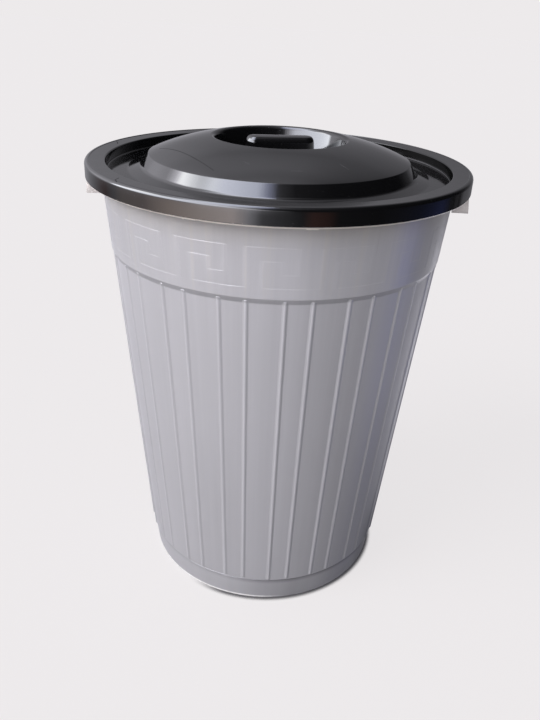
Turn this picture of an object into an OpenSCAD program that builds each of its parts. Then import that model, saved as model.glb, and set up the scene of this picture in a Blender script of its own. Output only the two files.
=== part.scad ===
// Round refuse bin: a tapered tub with a plain band and paired ribs, two side grips under its
// rim, and a lift-off lid with a pinch grip in a round recess.
// Millimetres. The tub stands on z = 0 with its axis on Z, and the side grips lie along X.

/* [Tub] */
// Height of the tub's rim above the ground
rim_z = 627; // [560:1:720]
// Outer radius of the band where it meets the rim
mouth_r = 242.4; // [225:0.1:260]
// Outer radius of the ribbed wall at its lower edge
panel_foot_r = 189; // [170:0.5:205]
// Thickness of the tub's wall
wall = 2.6; // [2:0.1:4]
// Thickness of the tub's floor
floor_t = 3.5; // [2:0.1:6]
// Hollow under the floor
floor_lift = 5; // [3:0.5:10]
// Radius inside, where the wall turns into the floor
floor_round = 12; // [6:1:20]

/* [Foot] */
// Height of the foot band
foot_h = 41.5; // [30:0.5:60]
// How far the foot band is set in from the ribbed wall
foot_inset = 3.2; // [2:0.1:6]
// Width of the ring that the tub stands on
stand_w = 6; // [4:0.5:12]
// Rounding of the foot's lower edge
foot_edge_r = 2.5; // [1:0.5:4]

/* [Band] */
// Height of the band, from its lower edge up to the rim
band_h = 112; // [70:1:150]
// How far the band stands out from the ribbed wall
band_step = 4; // [3.2:0.1:6]
// Height of the sloping shoulder under the band
shoulder_h = 7; // [4:0.5:12]

/* [Rim] */
// How far the rim stands out from the band
rim_over = 13.4; // [11:0.1:18]
// Depth of the rim's downturned lip
rim_drop = 21; // [14:0.5:24]
// Thickness of the rim and its lip
rim_t = 3; // [2:0.1:4]

/* [Ribs] */
// Pairs of ribs around the tub
rib_pairs = 18; // [8:1:20]
// Half width of a rib, and its height off the wall
rib_r = 2.6; // [1.5:0.1:3]
// Angle between the two ribs of a pair
rib_spread = 8.4; // [5:0.1:9]
// Plain wall left between a rib's end and the wall's lower edge
rib_end_gap = 3.5; // [3:0.5:10]

/* [Side grips] */
// Length of a side grip around the tub
grip_l = 124; // [90:1:160]
// Depth of a side grip below the top of the rim
grip_drop = 43; // [36:1:60]
// How far the grip's outer wall flares out from the rim's lip
grip_flare = 4.5; // [2.4:0.1:5]
// Thickness of the grip's walls
grip_t = 2.2; // [1.5:0.1:3]
// Gap between a grip and the tub's curved faces
grip_gap = 0.3; // [0.2:0.05:0.6]

/* [Lid] */
// Clearance between the rim's lip and the lid's skirt
skirt_gap = 1.5; // [1:0.1:3]
// Thickness of the lid
lid_t = 2.7; // [2:0.1:3.5]
// Height of the lid's skirt
skirt_h = 21; // [19:0.5:26]
// Gap between the lid and the top of the rim
seat_gap = 0.3; // [0.2:0.05:0.6]
// Rounding of the lid's outer edge
edge_r = 5; // [3:0.5:8]
// Width of the flat rim around the lid
flat_w = 26.7; // [24:0.1:30]
// Depth of the channel inside the flat rim
channel_d = 13.7; // [8:0.1:16]
// Width of the channel's floor
channel_w = 35; // [25:0.5:45]

/* [Dome] */
// Radius of the crease where the dome begins
crease_r = 177.3; // [165:0.1:185]
// Height of the crease above the flat rim
crease_rise = 5.4; // [3:0.1:10]
// Height of the dome above the crease
dome_rise = 24.6; // [15:0.1:35]
// How far the dome bulges past a straight cone
dome_bulge = 2.8; // [1:0.1:6]

/* [Recess] */
// Radius of the round recess at its mouth, before its edge is rounded
recess_r = 89; // [80:0.5:100]
// Rounding of the recess's edge
recess_edge_r = 6; // [4:0.5:8]
// Depth of the recess
recess_d = 37; // [30:0.5:42]
// Lean of the recess's wall off the vertical
recess_lean = 12; // [5:1:20]
// Rounding between the recess's wall and its floor
recess_round = 12; // [6:1:16]

/* [Pinch grip] */
// Length of the pinch grip
bar_l = 90; // [70:1:110]
// Width of the pinch grip
bar_w = 27; // [20:0.5:34]
// How far the pinch grip stands above the recess's edge
bar_proud = 0.5; // [0:0.5:6]
// Rounding of the pinch grip's edges
bar_r = 6.5; // [4:0.5:9]
// Turn of the lid on the tub
lid_turn = 12; // [-30:1:30]

/* [Hidden] */
$fn = 120;
over = 1;
small_round = 1.5;
arc_steps = 6;
dome_steps = 9;
rib_sides = 12;

panel_slope = (mouth_r - band_step - panel_foot_r) / (rim_z - foot_h);
function panel_r(z) = panel_foot_r + panel_slope * (z - foot_h);
function band_r(z) = panel_r(z) + band_step;
function foot_r(z) = panel_r(z) - foot_inset;

floor_z = floor_lift + floor_t;
band_z = rim_z - band_h;
shoulder_z = band_z - shoulder_h;
rim_r = mouth_r + rim_over;
rim_under_z = rim_z - rim_t;
lip_z = rim_z - rim_drop;

lid_r = rim_r + skirt_gap + lid_t;
lid_z = rim_z + seat_gap + lid_t;
skirt_z = lid_z - skirt_h;
channel_z = lid_z - channel_d;
channel_out_r = lid_r - flat_w;
channel_draft = 2.4;
channel_in_r = channel_out_r - channel_draft - channel_w;
crease_z = lid_z + crease_rise;
recess_z = crease_z + dome_rise;
recess_floor_z = recess_z - recess_d;
recess_floor_r = recess_r - recess_d * tan(recess_lean);
bar_top_z = recess_z + bar_proud;

grip_z = rim_z - grip_drop;
grip_clear = 1;
grip_bend = 3;
grip_jog = grip_flare / 2;

// A path is a list of corners [r, z, rounding]; these turn it into points, sharp where it is 0
function unit(v) = v / norm(v);
function flat(c) = [c[0], c[1]];
function wrap(a) = a > 180 ? a - 360 : a < -180 ? a + 360 : a;
function corner_arc(a, b, c, r) =
    r <= 0 ? [b] :
    let (
        u = unit(a - b),
        v = unit(c - b),
        half = acos(u * v) / 2,
        mid = b + unit(u + v) * r / sin(half),
        p = b + u * r / tan(half) - mid,
        q = b + v * r / tan(half) - mid,
        start = atan2(p.y, p.x),
        sweep = wrap(atan2(q.y, q.x) - start)
    )
    [for (i = [0:arc_steps]) mid + r * [cos(start + sweep * i / arc_steps), sin(start + sweep * i / arc_steps)]];
function rounded(path) =
    let (last = len(path) - 1)
    [for (i = [0:last])
        each (i == 0 || i == last ? [flat(path[i])]
            : corner_arc(flat(path[i - 1]), flat(path[i]), flat(path[i + 1]), path[i][2]))];

// The same path moved by d to its left, with each rounding grown or shrunk to stay parallel
function left_of(v) = [-v.y, v.x];
function moved(path, d) =
    let (last = len(path) - 1)
    [for (i = [0:last])
        let (
            here = flat(path[i]),
            before = i == 0 ? here : unit(here - flat(path[i - 1])),
            after = i == last ? before : unit(flat(path[i + 1]) - here),
            n1 = left_of(i == 0 ? after : before),
            n2 = left_of(after),
            turn = n1.x * n2.y - n1.y * n2.x,
            side = turn > 0 ? 1 : -1,
            p = here + d * (n1 + n2) / (1 + n1 * n2)
        )
        [p.x, p.y, path[i][2] > 0 ? max(0, path[i][2] - d * side) : 0]];
function reversed(list) = [for (i = [len(list) - 1:-1:0]) list[i]];

// Points strictly between the two ends of a shallow arc that bulges up by a given height
function arch(from, to, bulge, steps) =
    let (
        chord = norm(to - from),
        r = (chord * chord / 4 + bulge * bulge) / (2 * bulge),
        mid = (from + to) / 2 + left_of(unit(from - to)) * (r - bulge),
        a0 = atan2(from.y - mid.y, from.x - mid.x),
        a1 = atan2(to.y - mid.y, to.x - mid.x)
    )
    [for (i = [1:steps - 1]) mid + r * [cos(a0 + (a1 - a0) * i / steps), sin(a0 + (a1 - a0) * i / steps)]];

tub_outside = [
    [0, 0, 0],
    [foot_r(0), 0, foot_edge_r],
    [foot_r(foot_h - foot_inset), foot_h - foot_inset, 0],
    [panel_r(foot_h), foot_h, small_round],
    [panel_r(shoulder_z), shoulder_z, 0],
    [band_r(band_z), band_z, small_round],
    [band_r(rim_under_z), rim_under_z, 0],
    [rim_r - rim_t, rim_under_z, 0],
    [rim_r - rim_t, lip_z, 0],
    [rim_r, lip_z, 0],
    [rim_r, rim_z, rim_t],
    [0, rim_z, 0]
];

tub_inside = [
    [0, floor_z, 0],
    [foot_r(floor_z) - wall, floor_z, floor_round],
    [foot_r(foot_h) - wall, foot_h, 0],
    [panel_r(foot_h + foot_inset) - wall, foot_h + foot_inset, 0],
    [panel_r(shoulder_z) - wall, shoulder_z, 0],
    [band_r(band_z) - wall, band_z, 0],
    [band_r(rim_z + over) - wall, rim_z + over, 0],
    [0, rim_z + over, 0]
];

under_floor = [
    [0, -over, 0],
    [foot_r(0) - stand_w, -over, 0],
    [foot_r(0) - stand_w - floor_lift / 2, floor_lift, 0],
    [0, floor_lift, 0]
];

module turned(path) {
    rotate_extrude() polygon(rounded(path));
}

// One rib lies along the wall's slope, from above the foot up into the band's shoulder
module rib(angle) {
    low_z = foot_h + rib_end_gap;
    run = norm([panel_r(band_z) - panel_r(low_z), band_z - low_z]);
    rotate([0, 0, angle]) translate([panel_r(low_z), 0, low_z]) rotate([0, atan(panel_slope), 0])
        cylinder(r = rib_r, h = run, $fn = rib_sides);
}

module ribs() {
    for (i = [0:rib_pairs - 1], side = [-1, 1])
        rib(i * 360 / rib_pairs + side * rib_spread / 2);
}

// The lip is cut away where a side grip fills it
module grip_notch() {
    translate([mouth_r, -grip_l / 2 - grip_gap, lip_z - over])
        cube([rim_over + over, grip_l + 2 * grip_gap, rim_under_z - lip_z + over]);
}

module tub() {
    color([0.66, 0.66, 0.69])
    difference() {
        union() {
            turned(tub_outside);
            ribs();
        }
        turned(tub_inside);
        turned(under_floor);
        for (side = [0, 1]) mirror([side, 0, 0]) grip_notch();
    }
}

// Outer face of a side grip, from the rim's underside down to its lower edge
grip_outer = [
    [rim_r, rim_under_z, 0],
    [rim_r, skirt_z - grip_clear, 0],
    [rim_r + grip_jog, skirt_z - grip_clear - grip_bend, 0],
    [rim_r + grip_flare, grip_z, 0]
];

grip_back = [
    [band_r(grip_z) + grip_gap, grip_z, 0],
    [band_r(rim_under_z) + grip_gap, rim_under_z, 0]
];

module grip_slab(y, thick) {
    translate([0, y, grip_z - over]) cube([lid_r + grip_flare, thick, rim_z]);
}

module grip_shell() {
    plate = [
        [band_r(rim_under_z) + grip_gap, rim_under_z, 0],
        [rim_r, rim_under_z, 0],
        [rim_r, rim_under_z - grip_t, 0],
        [band_r(rim_under_z) + grip_gap, rim_under_z - grip_t, 0]
    ];
    intersection() {
        union() {
            rotate_extrude() polygon(rounded(concat(grip_outer, reversed(moved(grip_outer, -grip_t)))));
            rotate_extrude() polygon(rounded(plate));
        }
        grip_slab(-grip_l / 2, grip_l);
    }
}

module grip_cheeks() {
    for (y = [-grip_l / 2, grip_l / 2 - grip_t])
        intersection() {
            rotate_extrude() polygon(rounded(concat(grip_outer, grip_back)));
            grip_slab(y, grip_t);
        }
}

module side_grip() {
    color([0.8, 0.79, 0.77])
    union() {
        grip_shell();
        grip_cheeks();
    }
}

module left_grip() {
    mirror([1, 0, 0]) side_grip();
}

module right_grip() {
    side_grip();
}

// Upper face of the lid, from the skirt's lower edge over the dome to the recess's centre
lid_top = concat(
    [
        [lid_r, skirt_z, 0],
        [lid_r, lid_z, edge_r],
        [channel_out_r, lid_z, small_round],
        [channel_out_r - channel_draft, channel_z, small_round],
        [channel_in_r, channel_z, small_round],
        [crease_r, crease_z, 0]
    ],
    [for (p = arch([crease_r, crease_z], [recess_r, recess_z], dome_bulge, dome_steps)) [p.x, p.y, 0]],
    [
        [recess_r, recess_z, recess_edge_r],
        [recess_floor_r, recess_floor_z, recess_round],
        [0, recess_floor_z, 0]
    ]
);

// A block with its upright edges and its top edges rounded
module soft_block(l, w, low, high, r) {
    shoulder = high - r;
    intersection() {
        translate([0, 0, low]) linear_extrude(high - low) soft_rect(l, w, r);
        rotate([90, 0, 0]) translate([0, 0, -w]) linear_extrude(2 * w) soft_end(l, low, shoulder, high, r);
        rotate([90, 0, 90]) translate([0, 0, -l]) linear_extrude(2 * l) soft_end(w, low, shoulder, high, r);
    }
}

module soft_rect(l, w, r) {
    square([l - 2 * r, w], center = true);
    square([l, w - 2 * r], center = true);
    for (x = [-1, 1], y = [-1, 1]) translate([x * (l / 2 - r), y * (w / 2 - r)]) circle(r);
}

module soft_end(l, low, shoulder, high, r) {
    translate([-l / 2, low - over]) square([l, shoulder - low + over]);
    translate([-l / 2 + r, low - over]) square([l - 2 * r, high - low + over]);
    for (x = [-1, 1]) translate([x * (l / 2 - r), shoulder]) circle(r);
}

module lid() {
    color([0.09, 0.09, 0.1])
    rotate([0, 0, lid_turn])
    difference() {
        union() {
            rotate_extrude() polygon(concat(rounded(lid_top), reversed(rounded(moved(lid_top, lid_t)))));
            soft_block(bar_l, bar_w, recess_floor_z - lid_t / 2, bar_top_z, bar_r);
        }
        soft_block(bar_l - 2 * lid_t, bar_w - 2 * lid_t, recess_floor_z - lid_t - over,
            bar_top_z - lid_t, bar_r - lid_t);
    }
}

tub();
left_grip();
right_grip();
lid();
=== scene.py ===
import functools
import math

import bmesh
import bpy
import numpy as np
from mathutils import Matrix, Vector


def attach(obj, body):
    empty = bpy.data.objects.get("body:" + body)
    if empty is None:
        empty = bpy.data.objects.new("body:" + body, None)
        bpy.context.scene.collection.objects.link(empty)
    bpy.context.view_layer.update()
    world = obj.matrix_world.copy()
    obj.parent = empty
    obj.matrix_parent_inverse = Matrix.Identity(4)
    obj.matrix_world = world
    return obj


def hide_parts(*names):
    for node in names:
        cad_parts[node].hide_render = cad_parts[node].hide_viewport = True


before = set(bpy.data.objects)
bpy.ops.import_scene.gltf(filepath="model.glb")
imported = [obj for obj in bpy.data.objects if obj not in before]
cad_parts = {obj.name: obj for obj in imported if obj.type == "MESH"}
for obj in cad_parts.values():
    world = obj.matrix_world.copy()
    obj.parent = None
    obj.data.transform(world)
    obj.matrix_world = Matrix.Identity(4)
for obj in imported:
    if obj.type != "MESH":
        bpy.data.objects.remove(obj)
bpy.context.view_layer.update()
print("frame loaded:", ", ".join(sorted(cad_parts)))

mm = 0.001


# ---- nodes: an output socket whose sums and products add Math nodes ----
class Wire:
    def __init__(self, tree, socket=None):
        self.tree = tree
        self.socket = socket

    # any node: its type, its settings, then what goes into its sockets
    def add(self, kind, settings=None, plugs=None, out=0):
        node = self.tree.nodes.new(kind)
        for name, value in (settings or {}).items():
            if name == "stops":
                setStops(node.color_ramp, value)
            else:
                setattr(node, name, value)
        for name, value in (plugs or {}).items():
            if isinstance(value, Wire):
                self.tree.links.new(value.socket, node.inputs[name])
            elif value is not None:
                node.inputs[name].default_value = value
        return Wire(self.tree, node.outputs[out] if len(node.outputs) else None)

    # another output of the same node
    def sibling(self, name):
        return Wire(self.tree, self.socket.node.outputs[name])

    def math(self, operation, a, b=None, clamp=False):
        settings = {"operation": operation, "use_clamp": clamp}
        return self.add("ShaderNodeMath", settings, {0: a, 1: b})

    def __add__(self, other):
        return self.math("ADD", self, other)

    def __radd__(self, other):
        return self.math("ADD", other, self)

    def __sub__(self, other):
        return self.math("SUBTRACT", self, other)

    def __rsub__(self, other):
        return self.math("SUBTRACT", other, self)

    def __mul__(self, other):
        return self.math("MULTIPLY", self, other)

    def __rmul__(self, other):
        return self.math("MULTIPLY", other, self)

    def __truediv__(self, other):
        return self.math("DIVIDE", self, other)

    def __rtruediv__(self, other):
        return self.math("DIVIDE", other, self)

    def __pow__(self, other):
        return self.math("POWER", self, other)

    # a soft step from lowValue at low to highValue at high; low may be the larger
    def ramp(self, low, high, lowValue=0.0, highValue=1.0):
        settings = {"interpolation_type": "SMOOTHSTEP", "clamp": True}
        plugs = {"Value": self, "From Min": low, "From Max": high, "To Min": lowValue, "To Max": highValue}
        if low > high:
            plugs.update({"From Min": high, "From Max": low, "To Min": highValue, "To Max": lowValue})
        return self.add("ShaderNodeMapRange", settings, plugs)

    def atLeast(self, other):
        return self.math("MAXIMUM", self, other)


def setStops(ramp, stops):
    while len(ramp.elements) < len(stops):
        ramp.elements.new(0.5)
    for element, (place, colour) in zip(ramp.elements, stops):
        element.position = place
        element.color = colour


def mixColours(wire, factor, a, b, mode="MIX"):
    settings = {"data_type": "RGBA", "blend_type": mode, "clamp_factor": True}
    return wire.add("ShaderNodeMix", settings, {0: factor, 6: a, 7: b}, out=2)


def splitPlace(wire):
    place = wire.add("ShaderNodeTexCoord", out="Object")
    x = wire.add("ShaderNodeSeparateXYZ", plugs={0: place})
    return place, x, x.sibling("Y"), x.sibling("Z")


# distance and direction from the upright axis; nudge keeps the middle finite
def aroundAxis(x, y, nudge=0.0):
    radius = (x * x + y * y) ** 0.5
    away = radius + nudge
    return radius, x / away, y / away


def noise(wire, place, scale, detail=2.0, rough=0.5):
    plugs = {"Vector": place, "Scale": scale, "Detail": detail, "Roughness": rough}
    return wire.add("ShaderNodeTexNoise", {"noise_dimensions": "3D"}, plugs, out="Fac")


# drawn-out noise; sizes are how fine it is around and along, detail and roughness
def streakNoise(wire, cx, cy, along, sizes):
    fineAround, fineAlong, detail, rough = sizes
    spot = wire.add("ShaderNodeCombineXYZ", plugs={0: cx * fineAround, 1: cy * fineAround, 2: along * fineAlong})
    return noise(wire, spot, 1.0, detail, rough)


# noises weighed and added up, each about its middle
def weigh(noises, weights):
    return functools.reduce(Wire.__add__, ((noises[name] - 0.5) * weight for name, weight in weights.items()))


# soft steps multiplied, each with its axis and then what ramp takes
def stepMask(axes, steps):
    return functools.reduce(Wire.__mul__, (axes[axis].ramp(*limits) for axis, *limits in steps))


def newMaterial(name):
    material = bpy.data.materials.new(name)
    material.use_nodes = True
    material.node_tree.nodes.clear()
    return material, Wire(material.node_tree)


# constants go on the shader's own sockets; only what varies is linked
def finishPlastic(wire, look, colour, roughness, height, marks=None):
    strength, reach = look["bump"]
    bump = wire.add("ShaderNodeBump", plugs={"Strength": strength, "Distance": reach, "Height": height})
    plugs = {"Base Color": colour, "Roughness": roughness, "Normal": bump}
    plugs.update(look["shader"])
    shader = wire.add("ShaderNodeBsdfPrincipled", plugs=plugs)
    # where marks is given, a matt near-black is mixed in: for the lid, its own marks and painted shade on the
    # channel wall
    if marks is not None:
        marksAndShadeBlack = wire.add("ShaderNodeBsdfDiffuse", plugs={"Color": look["marksAndShadeBlack"]})
        shader = wire.add("ShaderNodeMixShader", plugs={0: marks, 1: shader, 2: marksAndShadeBlack})
    wire.add("ShaderNodeOutputMaterial", plugs={"Surface": shader})


# ---- meshes ----
meshFinish = {"weld": 2e-6, "copyWeld": 3e-6, "flatAngle": 35.0, "arcStep": 9.0}


def newObject(name, mesh):
    piece = bpy.data.objects.new(name, mesh)
    bpy.context.scene.collection.objects.link(piece)
    return piece


def tidyMesh(mesh, flatAngle):
    work = bmesh.new()
    work.from_mesh(mesh)
    bmesh.ops.remove_doubles(work, verts=work.verts, dist=meshFinish["weld"])
    bmesh.ops.recalc_face_normals(work, faces=work.faces)
    work.to_mesh(mesh)
    work.free()
    mesh.shade_smooth()
    mesh.set_sharp_from_angle(angle=math.radians(flatAngle))
    mesh.update()


def newPiece(name, points, faces, flatAngle=meshFinish["flatAngle"]):
    mesh = bpy.data.meshes.new(name)
    mesh.from_pydata([tuple(p) for p in points], [], faces)
    tidyMesh(mesh, flatAngle)
    return newObject(name, mesh)


# a piece whose points carry a crest share, which the material paints paler as a highlight
def crestObject(name, points, faces, crests):
    mesh = bpy.data.meshes.new(name)
    mesh.from_pydata(points, [], faces)
    mesh.attributes.new("crest", "FLOAT", "POINT").data.foreach_set("value", crests)
    return newObject(name, mesh)


def paint(piece, material):
    piece.data.materials.clear()
    piece.data.materials.append(material)


# what the piece's modifiers make of it, as a plain mesh
def bakeModifiers(piece):
    bpy.context.view_layer.update()
    ready = piece.evaluated_get(bpy.context.evaluated_depsgraph_get())
    whole = bpy.data.meshes.new_from_object(ready)
    whole.name = piece.name
    piece.modifiers.clear()
    piece.data = whole


# faces between closed rings of as many points each
def ringFaces(first, ringCount, across):
    faces = []
    for k in range(ringCount - 1):
        low, high = first + k * across, first + (k + 1) * across
        for i in range(across):
            j = (i + 1) % across
            faces.append((low + i, low + j, high + j, high + i))
    return faces


# corners are [radius, height, rounding]; a rounded corner becomes an arc
def softPath(corners, degreesPerStep=meshFinish["arcStep"]):
    points = []
    last = len(corners) - 1
    for i, corner in enumerate(corners):
        here = np.array(corner[:2], float)
        rounding = corner[2]
        if i in (0, last) or rounding <= 0:
            points.append(here)
            continue
        toBefore = np.array(corners[i - 1][:2], float) - here
        toAfter = np.array(corners[i + 1][:2], float) - here
        toBefore /= np.linalg.norm(toBefore)
        toAfter /= np.linalg.norm(toAfter)
        half = math.acos(max(-1.0, min(1.0, float(toBefore @ toAfter)))) / 2
        middle = toBefore + toAfter
        centre = here + middle / np.linalg.norm(middle) * rounding / math.sin(half)
        start = here + toBefore * rounding / math.tan(half) - centre
        end = here + toAfter * rounding / math.tan(half) - centre
        a0 = math.atan2(start[1], start[0])
        turn = (math.atan2(end[1], end[0]) - a0 + math.pi) % (2 * math.pi) - math.pi
        steps = max(3, math.ceil(abs(math.degrees(turn)) / degreesPerStep))
        for k in range(steps + 1):
            a = a0 + turn * k / steps
            points.append(centre + rounding * np.array([math.cos(a), math.sin(a)]))
    return points


# a parallel path, to the left of the way it runs, with its roundings grown or shrunk
def besidePath(corners, distance):
    moved = []
    last = len(corners) - 1
    for i, corner in enumerate(corners):
        here = np.array(corner[:2], float)
        before = None if i == 0 else here - np.array(corners[i - 1][:2], float)
        after = None if i == last else np.array(corners[i + 1][:2], float) - here
        before = after if before is None else before
        after = before if after is None else after
        n1 = np.array([-before[1], before[0]]) / np.linalg.norm(before)
        n2 = np.array([-after[1], after[0]]) / np.linalg.norm(after)
        side = 1 if n1[0] * n2[1] - n1[1] * n2[0] > 0 else -1
        place = here + distance * (n1 + n2) / (1 + float(n1 @ n2))
        rounding = max(0.0, corner[2] - distance * side) if corner[2] > 0 else 0
        moved.append([place[0], place[1], rounding])
    return moved


# rings of as many points each, skinned in order, with a point at each end
def skinRings(name, rings, firstPole, lastPole, flatAngle=meshFinish["flatAngle"]):
    count = len(rings[0])
    points = [p for ring in rings for p in ring]
    faces = ringFaces(0, len(rings), count)
    first, last = len(points), len(points) + 1
    points += [firstPole, lastPole]
    end = (len(rings) - 1) * count
    for i in range(count):
        j = (i + 1) % count
        faces.append((first, j, i))
        faces.append((last, end + i, end + j))
    return newPiece(name, points, faces, flatAngle)


# a point at a radius, an angle and a height in millimetres
def roundPoint(radius, angle, height):
    return (radius * math.cos(angle) * mm, radius * math.sin(angle) * mm, height * mm)


def circleRing(radius, height, count, turn=0.0):
    return [roundPoint(radius, 2 * math.pi * i / count + turn, height) for i in range(count)]


# a tree that copies the piece's mesh around the upright axis
def copyAround(piece, copies, material, flatAngle=meshFinish["flatAngle"]):
    tree = bpy.data.node_groups.new("copyAround", "GeometryNodeTree")
    for name, kind, way in (("Mesh", "Geometry", "INPUT"), ("Copies", "Int", "INPUT"),
                            ("Material", "Material", "INPUT"), ("Mesh", "Geometry", "OUTPUT")):
        tree.interface.new_socket(name=name, in_out=way, socket_type="NodeSocket" + kind)
    wire = Wire(tree)
    mesh = wire.add("NodeGroupInput", out="Mesh")
    copiesIn, materialIn = mesh.sibling("Copies"), mesh.sibling("Material")
    line = wire.add("GeometryNodeMeshLine", {"mode": "OFFSET"}, {"Count": copiesIn, "Offset": (0, 0, 0)})
    spots = wire.add("GeometryNodeMeshToPoints", plugs={"Mesh": line})
    angle = wire.add("GeometryNodeInputIndex") * (2 * math.pi) / copiesIn
    turn = wire.add("ShaderNodeCombineXYZ", plugs={"Z": angle})
    placed = wire.add("GeometryNodeInstanceOnPoints", plugs={"Points": spots, "Instance": mesh, "Rotation": turn})
    real = wire.add("GeometryNodeRealizeInstances", plugs={"Geometry": placed})
    plugs = {"Geometry": real, "Distance": meshFinish["copyWeld"]}
    joined = wire.add("GeometryNodeMergeByDistance", plugs=plugs)
    painted = wire.add("GeometryNodeSetMaterial", plugs={"Geometry": joined, "Material": materialIn})
    wire.add("NodeGroupOutput", plugs={"Mesh": painted})
    modifier = piece.modifiers.new("copyAround", "NODES")
    modifier.node_group = tree
    keys = {item.name: item.identifier for item in tree.interface.items_tree if item.in_out == "INPUT"}
    modifier[keys["Copies"]] = copies
    modifier[keys["Material"]] = material
    bakeModifiers(piece)
    tidyMesh(piece.data, flatAngle)
    return piece


# ---- plastics ----
silverLook = {
    "colour": (0.470, 0.462, 0.492, 1.0),
    "warm": (0.485, 0.462, 0.445, 1.0),
    # painted highlight: the lip's edge under the lid is painted pale and warm
    "lipPaintedLight": (0.86, 0.80, 0.74, 1.0),
    "footHighlightTone": (0.92, 0.91, 0.91, 1.0),
    "shader": {"Metallic": 0.04, "IOR": 1.48, "Specular IOR Level": 0.42},
    "roughness": 0.38, "bump": (0.22, 0.0006),
    "broad": (7, 0.9, 2.0, 0.5), "streaks": (26, 2.2, 3.0, 0.6), "hair": (150, 7, 2.0, 0.5),
    "clouds": (6.0, 3.0), "grain": (900.0, 2.0),
    # how far each noise moves the shade, the roughness and the height
    "shadeOf": {"broad": 0.09, "hair": 0.035, "clouds": 0.05},
    "roughOf": {"streaks": 0.12, "hair": 0.04, "clouds": 0.05},
    "heightOf": {"streaks": 0.4, "hair": 0.03, "grain": 0.05, "broad": 1.2},
    # soft steps in metres over the height: painted shade, darker towards the bottom; painted light, lifting the
    # band; the band's streaks, smoothness and warm smears; and painted warm shade just under the rim
    "heightPaintedShade": (-0.12, 0.62, 0.84, 1.02), "bandPaintedLight": (0.508, 0.516, 0.965, 1.02),
    "streakShade": (0.44, 0.53, 0.08, 0.14), "bandSmooth": (0.50, 0.53, 0.0, 0.08),
    "paintedWarmShadeUnderRim": (0.568, 0.612, 0.0, 0.8), "warmBand": (0.500, 0.530, 0.0, 0.35), "warmStreaks": (0.50, 0.68),
    "lipPaintedLightFrom": (0.2475, 0.2490),
    # painted shade, at places given as soft steps that are multiplied; cx is x as a share of the radius
    "paintedShade": [
        # painted shade under the band's shoulder
        [("z", 0.5065, 0.5095), ("z", 0.5150, 0.5138), ("x", 0.19, 0.10, 0.0, 0.17)],
        # painted shade in the step above the foot ring, then on the ring itself
        [("z", 0.0300, 0.0400), ("z", 0.0422, 0.0412), ("x", -0.10, 0.06, 0.20, 0.34)],
        [("z", 0.0415, 0.0400), ("x", -0.05, 0.02), ("x", 0.09, 0.05, 0.08, 0.20)],
        # painted shade low on the right, then on the band's right
        [("z", 0.42, 0.06), ("x", 0.08, 0.17), ("y", 0.02, -0.06, 0.0, 0.25)],
        [("z", 0.510, 0.520), ("cx", 0.62, 0.78), ("cx", 0.93, 0.86), ("y", 0.02, -0.06, 0.0, 0.18)],
    ],
    # painted shade: darker low down on the right, on the front half
    "lowEdge": [("z", 0.17, 0.05), ("cx", 0.78, 0.93), ("y", 0.02, -0.03, 0.0, 0.42)],
    # painted highlight: crests of the ribs and the pattern are painted paler, most of all right of the middle
    "crest": (0.35, 0.95), "crestPaintedHighlight": (-0.17, 0.0, 0.08, 0.24),
    # painted highlight: the foot's lower edge is painted pale on the front and left, broken up by the streaks
    "footHighlightAt": [("z", 0.0042, 0.0030), ("x", 0.05, -0.01)], "footHighlightShare": 0.85, "footHighlightStreaks": 0.8,
}


def silverPlastic():
    look = silverLook
    material, wire = newMaterial("satinSilver")
    place, x, y, z = splitPlace(wire)
    radius, cx, cy = aroundAxis(x, y)
    axes = {"x": x, "y": y, "z": z, "cx": cx}
    noises = {name: streakNoise(wire, cx, cy, z, look[name]) for name in ("broad", "streaks", "hair")}
    noises.update({name: noise(wire, place, *look[name]) for name in ("clouds", "grain")})
    streaks = noises["streaks"]
    # the warm tint just under the rim is painted warm shade; the warm streaks on the band are smears
    tinted = z.ramp(*look["paintedWarmShadeUnderRim"]) + z.ramp(*look["warmBand"]) * streaks.ramp(*look["warmStreaks"])
    colour = mixColours(wire, tinted, look["colour"], look["warm"])
    # painted shade: darker towards the bottom; the streaks and noises are the plastic's own tone
    shade = z.ramp(*look["heightPaintedShade"]) + (streaks - 0.5) * z.ramp(*look["streakShade"]) + weigh(noises, look["shadeOf"])
    # painted shade: darker under the shoulder, at the foot, low on the right, on the band's right and along the low
    # right edge
    unshaded = 1
    for steps in look["paintedShade"]:
        unshaded = unshaded - stepMask(axes, steps)
    shade = shade * unshaded * (1 - stepMask(axes, look["lowEdge"]))
    # painted highlight on the crests of the ribs and the pattern
    crest = wire.add("ShaderNodeAttribute", {"attribute_name": "crest"}, out="Fac")
    shade = shade * (1 + crest.ramp(*look["crest"]) * x.ramp(*look["crestPaintedHighlight"]))
    # painted light: the band is lifted a little
    shade = shade * z.ramp(*look["bandPaintedLight"])
    shadeColour = wire.add("ShaderNodeCombineColor", plugs={0: shade, 1: shade, 2: shade})
    colour = mixColours(wire, 1.0, colour, shadeColour, "MULTIPLY")
    # painted highlight: the lip's edge is painted pale and warm
    colour = mixColours(wire, radius.ramp(*look["lipPaintedLightFrom"]), colour, look["lipPaintedLight"])
    # painted highlight along the foot's lower edge on the front and left
    footHighlit = stepMask(axes, look["footHighlightAt"]) * (look["footHighlightShare"] + (streaks - 0.5) * look["footHighlightStreaks"])
    colour = mixColours(wire, footHighlit, colour, look["footHighlightTone"])
    roughness = look["roughness"] - z.ramp(*look["bandSmooth"]) + weigh(noises, look["roughOf"])
    finishPlastic(wire, look, colour, roughness, weigh(noises, look["heightOf"]))
    return material


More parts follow.
